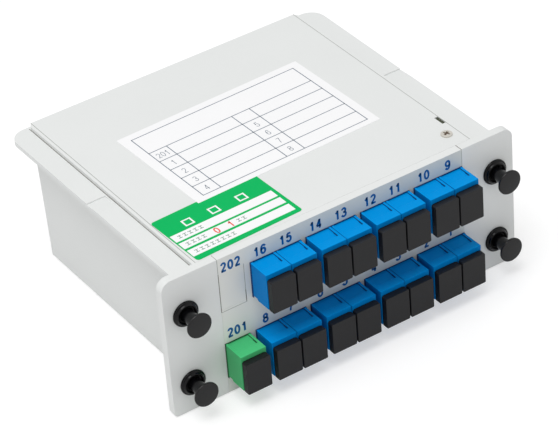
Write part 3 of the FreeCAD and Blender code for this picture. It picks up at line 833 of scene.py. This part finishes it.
@dataclass
class Ports(Assembly):
    """Adapters, dust caps and the printed port numbers.

    Painted shade: a step of dark bars rings each adapter at the plate. Relief bars shade the groove along
    its top, each with its width and length, between two depths. A gap's bar shades the slit between the
    two of a pair.
    """

    adapter_edge_mm: float = 0.14
    cap_edge_mm: float = 0.13
    adapter_height_mm: float = 12.6
    step_side_mm: float = 0.75
    step_top_mm: float = 0.3
    step_proud_mm: float = 0.06
    relief_rim_mm: float = 0.85
    relief_length_mm: float = 6.3
    relief_depths_mm: tuple[float, float] = (0.3, 0.03)
    relief_bars_mm: Outline = ((0.13, 6.3), (0.3, 2.9))
    pair_gap_mm: float = 1.0
    gap_front_mm: float = 0.3
    gap_deep_mm: float = 0.22
    gap_height_mm: float = 1.0
    digit_mm: float = 3.6
    digit_left_mm: float = 0.7
    digit_gap_mm: float = 1.0
    input_nudge_mm: tuple[float, float] = (1.0, 0.6)
    blank_lift_mm: float = 0.1
    ink_mm: float = 0.02
    pen: float = 0.2

    def build(self) -> list[Piece]:
        """Finish the adapters and the caps, and add their steps and numbers.

        Returns:
            The adapters, the caps and the new pieces.
        """
        pieces = []
        for port in ALL_PORTS:
            adapter, cap = (frame["nodes"][kind + port] for kind in ("adapter_", "dust_cap_"))
            pieces.append(paint(adapter, GREEN_PBT if port == INPUT_PORT else BLUE_PBT))
            soften(adapter, self.adapter_edge_mm)
            pieces.append(paint(cap, CAP_PE))
            soften(cap, self.cap_edge_mm, segments=3)
        return pieces + self.steps() + [self.numbers()]

    def steps(self) -> list[Piece]:
        """Make the painted shade round each adapter at the plate, along its top relief and in the slits
        of pairs.

        Returns:
            The pieces.
        """
        face = plate_face()
        proud, half = self.step_proud_mm * MM, self.adapter_height_mm * MM / 2
        side, top = face - self.step_side_mm * MM, face - self.step_top_mm * MM
        end = face - self.relief_length_mm * MM
        pieces = []
        for name, ports, finish, slot in (
            ("green_step_shade", (INPUT_PORT,), GREEN_STEP_SHADE, "adapter_green"),
            ("blue_step_shades", OUTPUT_PORTS, BLUE_STEP_SHADE, "adapter_blue"),
        ):
            bars = []
            for port in ports:
                low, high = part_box("adapter_" + port)
                z0, z1 = span(middle_of("adapter_" + port).z, half)
                bars += [(*span(x, proud), side, face, z0 - proud, z1 + proud) for x in (low.x, high.x)]
                bars += [(low.x, high.x, top, face, *span(z, proud)) for z in (z0, z1)]
                wall = high.x - self.relief_rim_mm * MM
                deep = [z1 - depth * MM for depth in self.relief_depths_mm]
                bars += [
                    (wall - width * MM, wall, end, end + length * MM, *deep)
                    for width, length in self.relief_bars_mm
                ]
            bars += self.pair_gaps(ports)
            pieces.append(new_piece(name, blocks(bars), finish))
        return pieces

    def pair_gaps(self, ports: Sequence[str]) -> list[Bar]:
        """Lay out the shade down in the narrow gap between two adapters that stand side by side.

        Args:
            ports: Ports to look at.

        Returns:
            A bar for each gap, as x0, x1, y0, y1, z0, z1.
        """
        boxes = [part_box("adapter_" + port) for port in ports]
        boxes.sort(key=lambda box: (round(box[0].z / MM), box[0].x))
        bars = []
        for (low, high), (next_low, _) in zip(boxes, boxes[1:]):
            if 0 < next_low.x - high.x < self.pair_gap_mm * MM:
                top = (low.z + high.z + self.adapter_height_mm * MM) / 2 - self.gap_deep_mm * MM
                foot, front = top - self.gap_height_mm * MM, low.y + self.gap_front_mm * MM
                bars.append((high.x, next_low.x, front, plate_face(), foot, top))
        return bars

    def numbers(self) -> Piece:
        """Print a number over each adapter and over the blank.

        Returns:
            The piece.
        """
        face = plate_face()
        stand = Matrix.Rotation(math.radians(90), 4, "X")
        lift_mm = self.adapter_height_mm / 2 + self.digit_gap_mm
        words = []
        for port in ALL_PORTS:
            right, up = self.input_nudge_mm if port == INPUT_PORT else (0.0, 0.0)
            middle = middle_of("adapter_" + port)
            x, z = middle.x + (right - self.digit_left_mm) * MM, middle.z + (lift_mm + up) * MM
            words.append((str(int(port)), Matrix.Translation((x, face, z)) @ stand))
        low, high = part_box("blank_plug")
        over = ((low.x + high.x) / 2, face, high.z + self.blank_lift_mm * MM)
        words.append((BLANK_MARK, Matrix.Translation(over) @ stand))
        digits = lettering(words, self.digit_mm, self.ink_mm, self.pen)
        return new_piece("port_numbers", digits, BLUE_INK)


@dataclass
class Latches(Assembly):
    """The four push-pull latches, turned in place of their plain solids.

    The outlines are points of radius and distance along Y. The plunger's runs from its flat knob with a
    rounded rim over a cone to the end of its pin. The grommet's goes round its thin rim, rounded collar,
    groove and seat, and a jaw's goes round the jaw.
    """

    plunger_mm: Outline = (
        *((0, -8.1), (4.2, -8.1), (4.2, -7.25), (3.3, -7.0), (2.2, -6.7)),
        *((2.2, 8.7), (1.9, 9.0), (0, 9.0)),
    )
    grommet_mm: Outline = (
        *((2.3, 4.0), (2.3, -0.85), (2.5, -0.95), (2.6, -0.55), (2.8, -0.55), (2.95, -1.15)),
        *((3.25, -1.5), (3.5, -1.4), (3.8, -0.85), (4.2, -0.75), (4.4, -0.5), (4.4, 0.0)),
        *((3.4, 0.0), (3.4, 3.0), (3.2, 3.0), (3.2, 4.0)),
    )
    jaw_mm: Outline = ((2.3, 4.0), (3.2, 4.0), (3.2, 9.1), (3.0, 9.5), (2.3, 9.5))
    plunger_round_mm: float = 0.35
    grommet_round_mm: float = 0.18
    jaws: int = 4
    slit_share: float = 0.16
    steps: int = 72

    def build(self) -> list[Piece]:
        """Turn the plungers and the grommets.

        Returns:
            The pieces.
        """
        profile = rounded(np.array(self.plunger_mm), self.plunger_round_mm) * MM
        pieces, solids = [], []
        for name in LATCHES:
            node = "latch_plunger_" + name
            axis = middle_of(node)
            axis.y = plate_face()
            pin = turned(profile, axis, self.steps)
            pieces.append(
                new_piece("plunger_" + name, pin, LATCH_NYLON, node + "_body", node)
            )
            solids += self.grommet(axis)
        pieces.append(
            new_piece("grommets", joined(solids), SHADED_GROMMET_NYLON, ROOT, "latch_grommets")
        )
        for piece in pieces:
            smooth(piece)
        return pieces

    def grommet(self, axis: Vector) -> list[Solid]:
        """Turn one grommet and the jaws of its slit nose.

        Args:
            axis: Where the latch's axis meets the plate's front face.

        Returns:
            Its solids.
        """
        ring = rounded(np.array(self.grommet_mm), self.grommet_round_mm) * MM
        jaw, turn = np.array(self.jaw_mm) * MM, 2 * math.pi / self.jaws
        starts = [(k - 0.5 + self.slit_share / 2) * turn for k in range(self.jaws)]
        sweep, steps = (1 - self.slit_share) * turn, self.steps // self.jaws
        return [revolved(ring, axis, steps=self.steps)] + [
            revolved(jaw, axis, start, sweep, steps) for start in starts
        ]


@dataclass
class CoverScrew(Assembly):
    """Pan head screw with a cross recess, in place of its plain solid; the head and shank are radii.

    The recess gets shallower outwards by its taper, and gets a brown painted shade where the cross has
    this much depth.
    """

    head_mm: float = 1.9
    dome_mm: float = 0.3
    pole_mm: float = 0.04
    shank_mm: float = 1.0
    point_mm: tuple[float, float] = (0.8, 0.1)
    arm_mm: float = 0.36
    reach_mm: float = 1.15
    recess_mm: float = 0.7
    taper: float = 0.45
    wall_mm: float = 0.12
    slack_mm: float = 0.01
    turn: float = 28.0
    oiled_from: float = 0.6
    rings: int = 40
    steps: int = 120

    def build(self) -> list[Piece]:
        """Turn the screw, press the cross into its head and stand it upright.

        The head's dome falls as d = dome (r / R)^2. The cross goes in by the product of two smooth
        steps, one across each arm and one at its end.

        Returns:
            The piece.
        """
        low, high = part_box("cover_screw")
        length, seat = (high.z - low.z) / MM, (high.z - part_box("cover")[1].z) / MM
        radius = np.linspace(self.pole_mm, self.head_mm, self.rings)
        dome = np.stack([radius, self.dome_mm * (radius / self.head_mm) ** 2], -1)
        cone, tip = self.point_mm
        shank = [(self.shank_mm, seat), (self.shank_mm, length - cone)]
        rest = [(self.head_mm, seat), *shank, (tip, length), (0.0, length)]
        points, faces = turned(np.vstack([[(0.0, 0.0)], dome, rest]) * MM, Vector(), self.steps)
        x, z = np.abs(points[:, 0]) / MM, np.abs(points[:, 2]) / MM
        arms = [
            self.step(self.arm_mm - across) * self.step(self.reach_mm - along)
            for across, along in ((x, z), (z, x))
        ]
        on_head = points[:, 1] < (self.dome_mm + self.slack_mm) * MM
        cross = np.where(on_head, np.maximum(*arms), 0)
        sunk = 1 - self.taper * np.hypot(x, z) / self.reach_mm
        points[:, 1] += cross * self.recess_mm * MM * sunk
        upright = np.stack([points[:, 0], points[:, 2], -points[:, 1]], -1)
        centre = middle_of("cover_screw")
        place = Matrix.Translation((centre.x, centre.y, high.z))
        place @= Matrix.Rotation(math.radians(self.turn), 4, "Z")
        screw = moved((upright, faces), place)
        piece = new_piece("cross_screw", screw, NICKEL_STEEL, ROOT, "cover_screw")
        self.oil(piece, cross > self.oiled_from)
        smooth(piece)
        return [piece]

    def step(self, inside_mm: Array) -> Array:
        """Smooth step 3t^2 - 2t^3 from 0 at the wall's outer side to 1 at its inner side."""
        t = np.clip(inside_mm / self.wall_mm + 0.5, 0, 1)
        return t * t * (3 - 2 * t)

    @staticmethod
    def oil(piece: Piece, deep: Array) -> None:
        """Give the recess its painted shade, a brown finish, on every face whose corners all lie deep.

        Args:
            piece: The screw.
            deep: Whether each of its points lies deep.
        """
        mesh = piece.data
        mesh.materials.append(RECESS_SHADE.material())
        corners, starts = np.empty(len(mesh.loops), np.int32), np.empty(len(mesh.polygons), np.int32)
        mesh.loops.foreach_get("vertex_index", corners)
        mesh.polygons.foreach_get("loop_start", starts)
        shaded_faces = np.logical_and.reduceat(deep[corners], starts)
        mesh.polygons.foreach_set("material_index", shaded_faces.astype(np.int32))


@dataclass(frozen=True)
class Sheet:
    """A label's flat frame: its own x to the right, its own y to the rear, from its middle.

    Attributes:
        node: The carried-over label.
        width_mm: Its width.
        depth_mm: Its depth.
        turn: Degrees that it is turned by.
        sink_mm: How far its upper face lies under the top of the carried-over label's.
    """

    node: str
    width_mm: float
    depth_mm: float
    turn: float
    sink_mm: float = 0.0

    def place(self, print_turn: float = 0.0) -> Matrix:
        """Find where the label's upper face lies.

        Args:
            print_turn: Degrees by which its print is turned on it.

        Returns:
            Matrix from the label's frame to the row frame.
        """
        low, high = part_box(self.node)
        angle = math.radians(self.turn)
        reach_y = (self.width_mm * math.sin(angle) + self.depth_mm * math.cos(angle)) / 2 * MM
        middle = Vector(((low.x + high.x) / 2, low.y + reach_y, high.z - self.sink_mm * MM))
        return Matrix.Translation(middle) @ Matrix.Rotation(math.radians(self.turn + print_turn), 4, "Z")

    def film(self, corner_mm: float, thick_mm: float) -> Solid:
        """Cut the label's film with round corners, each a quarter of a circle.

        Args:
            corner_mm: Radius of its corners.
            thick_mm: How thick it is.

        Returns:
            Points and faces.
        """
        x, y = self.width_mm / 2 - corner_mm, self.depth_mm / 2 - corner_mm
        middles = ((x, y), (-x, y), (-x, -y), (x, -y))
        quarters = [
            arc(*middle, corner_mm, corner_mm, 90 * k, 90 * (k + 1), CORNER_POINTS)
            for k, middle in enumerate(middles)
        ]
        outline = np.vstack(quarters)
        rings = np.stack([np.insert(outline, 2, z, axis=1) for z in (-thick_mm, 0.0)])
        return moved(through(rings * MM), self.place())


@dataclass
class TableLabel(Assembly):
    """White label with a ruled table of port numbers."""

    sheet: Sheet = Sheet("table_label", 69.7, 45.4, 1.7)
    left_mm: float = -31.3
    right_mm: float = 31.7
    front_mm: float = -20.2
    rear_mm: float = 19.7
    heading_mm: float = 9.8
    columns_mm: tuple[float, ...] = (-24.7, 0.35, 7.2)
    line_mm: float = 0.32
    digit_mm: float = 2.7
    digit_drop_mm: float = 0.1
    pen: float = 0.08
    ink_mm: float = 0.012
    marks: tuple[tuple[str, ...], ...] = ((INPUT_PORT, "1", "2", "3", "4"), ("", "5", "6", "7", "8"))

    def build(self) -> list[Piece]:
        """Rule the table's lines and print its numbers.

        Returns:
            The pieces.
        """
        count = len(self.marks[0])
        pitch = (self.heading_mm - self.front_mm) / count
        half = self.line_mm / 2
        levels = [self.rear_mm] + [self.heading_mm - k * pitch for k in range(count + 1)]
        sides = (self.left_mm, self.right_mm)
        lines = [(self.left_mm - half, self.right_mm + half, *span(y, half)) for y in levels]
        lines += [(*span(x, half), self.front_mm, self.rear_mm) for x in sides]
        lines += [(*span(x, half), self.front_mm, self.heading_mm) for x in self.columns_mm]
        place = self.sheet.place()
        grid = flat_print(lines, place, self.ink_mm)
        first, second, third = self.columns_mm
        words = []
        for x, column in zip(((self.left_mm + first) / 2, (second + third) / 2), self.marks):
            for k, mark in enumerate(column):
                y = self.heading_mm - (k + 0.5) * pitch - self.digit_mm / 2 - self.digit_drop_mm
                if mark:
                    words.append((mark, place @ Matrix.Translation((x * MM, y * MM, 0))))
        digits = lettering(words, self.digit_mm, self.ink_mm, self.pen)
        return [
            new_piece(name, solid, GREY_INK)
            for name, solid in (("table_lines", grid), ("table_numbers", digits))
        ]


@dataclass
class CheckLabel(Assembly):
    """Green label with white fields, plain tick boxes and short bars where a real one has words.

    Each run of bars is the number of its field, its start and its end. The stamp is two plain digits,
    each with its place along the second field.
    """

    sheet: Sheet = Sheet("check_label", 38.9, 25.1, 2.2, sink_mm=0.02)
    corner_mm: float = 1.1
    film_mm: float = 0.07
    print_turn: float = -1.0
    left_mm: float = -19.0
    right_mm: float = 18.2
    fields_mm: Outline = ((-1.25, 2.5), (-5.65, -2.15), (-10.45, -6.7))
    boxes_mm: tuple[float, ...] = (-10.4, -0.8, 9.3)
    box_y_mm: float = 5.5
    box_mm: float = 3.4
    box_line_mm: float = 0.55
    runs_mm: tuple[tuple[int, float, float], ...] = (
        *((0, -17.2, -6.0), (1, -17.2, -9.6), (1, 1.2, 6.4), (2, -17.2, -1.9)),
    )
    bar_pitch_mm: float = 1.9
    bar_w_mm: float = 1.3
    bar_h_mm: float = 1.5
    bar_line_mm: float = 0.28
    bar_stem_mm: tuple[float, float] = (0.5, 0.8)
    stamp_mm: tuple[tuple[str, float], ...] = (("0", -6.2), ("1", -1.1))
    stamp_inset_mm: float = 0.2
    pen: float = 0.15
    ink_mm: float = 0.012

    def build(self) -> list[Piece]:
        """Cut the film with round corners and print the fields, the boxes, the bars and the stamp.

        Returns:
            The pieces.
        """
        film = self.sheet.film(self.corner_mm, self.film_mm)
        place = self.sheet.place(self.print_turn)
        fields = [(self.left_mm, self.right_mm, low, high) for low, high in self.fields_mm]
        pale = flat_print(fields + self.tick_boxes(), place, self.ink_mm)
        over = place @ Matrix.Translation((0, 0, self.ink_mm * MM))
        bars = flat_print(self.bars(), over, self.ink_mm)
        low, high = self.fields_mm[1]
        foot, height = low + self.stamp_inset_mm, high - low - 2 * self.stamp_inset_mm
        words = [(mark, over @ Matrix.Translation((x * MM, foot * MM, 0))) for mark, x in self.stamp_mm]
        stamp = lettering(words, height, self.ink_mm, self.pen)
        return [
            new_piece("check_film", film, GREEN_FILM, ROOT, self.sheet.node),
            new_piece("check_fields", pale, LABEL_FILM),
            new_piece("check_bars", bars, SAGE_INK),
            new_piece("check_stamp", stamp, RED_INK),
        ]

    def tick_boxes(self) -> list[Bar]:
        """Lay out hollow squares of four bars each.

        Returns:
            Each bar's x0, x1, y0 and y1 in the label's frame.
        """
        reach, half, y = self.box_mm / 2, self.box_line_mm / 2, self.box_y_mm
        inner = reach - 2 * half
        sides = []
        for x in self.boxes_mm:
            for edge in (half - reach, reach - half):
                sides.append((*span(x, reach), *span(y + edge, half)))
                sides.append((*span(x + edge, half), *span(y, inner)))
        return sides

    def bars(self) -> list[Bar]:
        """Lay out short upright bars with a foot and a head, in runs.

        Returns:
            Each part's x0, x1, y0 and y1 in the label's frame.
        """
        line, (stem_from, stem_to) = self.bar_line_mm, self.bar_stem_mm
        bars = []
        for field, start, end in self.runs_mm:
            low, high = span(sum(self.fields_mm[field]) / 2, self.bar_h_mm / 2)
            for k in range(int((end - start) / self.bar_pitch_mm)):
                x = start + self.bar_pitch_mm * k
                bars += [(x, x + self.bar_w_mm, y, y + line) for y in (low, high - line)]
                bars += [(x + stem_from, x + stem_to, low + line, high - line)]
        return bars


@dataclass
class Inside(Assembly):
    """What the closed case holds, and whatever else still has no finish."""

    def build(self) -> list[Piece]:
        """Finish every node that has none yet, by its material slot.

        Returns:
            Those nodes.
        """
        finished = {finish.name for finish in SLOT_FINISHES.values()}
        pieces = []
        for part in frame["record"]["subparts"]:
            node = frame["nodes"][part["node"]]
            if not finished & {material.name for material in node.data.materials if material}:
                pieces.append(paint(node, SLOT_FINISHES[part["material_slot"]]))
        return pieces


# Stage ----------------------------------------------------------------------------------------


@dataclass
class Studio:
    """Camera, white floor, white surroundings and one soft lamp; angles are in degrees."""

    camera_at: tuple[float, float, float] = (-0.38716, -0.64512, 0.54864)
    azimuth: float = 31.47
    elevation: float = 35.26
    roll: float = -4.74
    lens_mm: float = 185.31
    sensor_mm: float = 36.0
    clip: tuple[float, float] = (0.05, 20.0)
    shift: tuple[float, float] = (0.0020, 0.0008)
    floor_size: float = 6.0
    floor_drop: float = 0.2 * MM
    floor_white: float = 0.9
    floor_glow: float = 0.35
    glow_strength: float = 1.42
    surroundings: float = 0.55
    lamp_power: float = 9.2
    lamp_size: float = 0.8
    lamp_at: tuple[float, float, float] = (-0.38, -0.2, 1.25)

    def camera(self) -> None:
        """Place the camera by its direction and roll."""
        data = bpy.data.cameras.new("camera")
        data.lens, data.sensor_width = self.lens_mm, self.sensor_mm
        data.shift_x, data.shift_y = self.shift
        data.clip_start, data.clip_end = self.clip
        camera = bpy.data.objects.new("camera", data)
        camera.matrix_world = Matrix.Translation(self.camera_at)
        for degrees, axis in ((-self.azimuth, "Z"), (90 - self.elevation, "X"), (self.roll, "Z")):
            camera.matrix_world @= Matrix.Rotation(math.radians(degrees), 4, axis)
        bpy.context.scene.collection.objects.link(camera)
        bpy.context.scene.camera = camera

    def floor(self) -> None:
        """Lay a large white floor that shows bright to the camera and keeps part of the shadow."""
        half, z = self.floor_size / 2, -self.floor_drop
        mesh = bpy.data.meshes.new("floor")
        corners = [(-half, -half, z), (half, -half, z), (half, half, z), (-half, half, z)]
        mesh.from_pydata(corners, [], [(0, 1, 2, 3)])
        floor = bpy.data.objects.new("floor", mesh)
        bpy.context.scene.collection.objects.link(floor)
        material = bpy.data.materials.new("white floor")
        tree = bare_tree(material)
        seen = add_node(tree, "ShaderNodeLightPath").outputs["Is Camera Ray"]
        share = add_node(tree, "ShaderNodeMath", {"operation": "MULTIPLY", 1: self.floor_glow}, {0: seen})
        white = (self.floor_white, self.floor_white, self.floor_white, 1.0)
        diffuse = add_node(tree, "ShaderNodeBsdfDiffuse", {"Color": white})
        glow = add_node(tree, "ShaderNodeEmission", {"Color": WHITE, "Strength": self.glow_strength})
        sources = {0: share.outputs[0], 1: diffuse.outputs[0], 2: glow.outputs[0]}
        mix = add_node(tree, "ShaderNodeMixShader", links=sources)
        add_node(tree, "ShaderNodeOutputMaterial", links={"Surface": mix.outputs[0]})
        mesh.materials.append(material)

    def light(self) -> None:
        """Set up white surroundings, as bright as white where seen or mirrored, and a soft lamp above."""
        world = bpy.data.worlds.new("surroundings")
        bpy.context.scene.world = world
        tree = bare_tree(world)
        ray = add_node(tree, "ShaderNodeLightPath").outputs
        seen = add_node(
            tree,
            "ShaderNodeMath",
            {"operation": "MAXIMUM"},
            {0: ray["Is Camera Ray"], 1: ray["Is Glossy Ray"]},
        )
        levels = {"To Min": self.surroundings, "To Max": 1.0}
        strength = add_node(tree, "ShaderNodeMapRange", levels, {"Value": seen.outputs[0]})
        sky = add_node(tree, "ShaderNodeBackground", {"Color": WHITE}, {"Strength": strength.outputs[0]})
        add_node(tree, "ShaderNodeOutputWorld", links={"Surface": sky.outputs[0]})
        lamp = bpy.data.lights.new("soft lamp", "AREA")
        lamp.energy, lamp.size = self.lamp_power, self.lamp_size
        holder = bpy.data.objects.new("soft lamp", lamp)
        holder.location = self.lamp_at
        holder.rotation_euler = (-Vector(self.lamp_at)).to_track_quat("-Z", "Y").to_euler()
        bpy.context.scene.collection.objects.link(holder)
        bpy.context.scene.view_settings.view_transform = "Standard"

    def build(self) -> None:
        """Set up the whole stage."""
        self.camera()
        self.floor()
        self.light()
        LOG.info("stage: camera, floor, surroundings and lamp")


def main() -> None:
    """Build the stage and the sub-assemblies in order, and report each piece."""
    logging.basicConfig(level=logging.INFO, format="%(name)s: %(message)s")
    Studio().build()
    for assembly in (Case(), Ports(), Latches(), CoverScrew(), TableLabel(), CheckLabel(), Inside()):
        for piece in assembly.build():
            LOG.info("%s: %s in %s", type(assembly).__name__, piece.name, piece.data.materials[0].name)


if __name__ == "__main__":
    main()
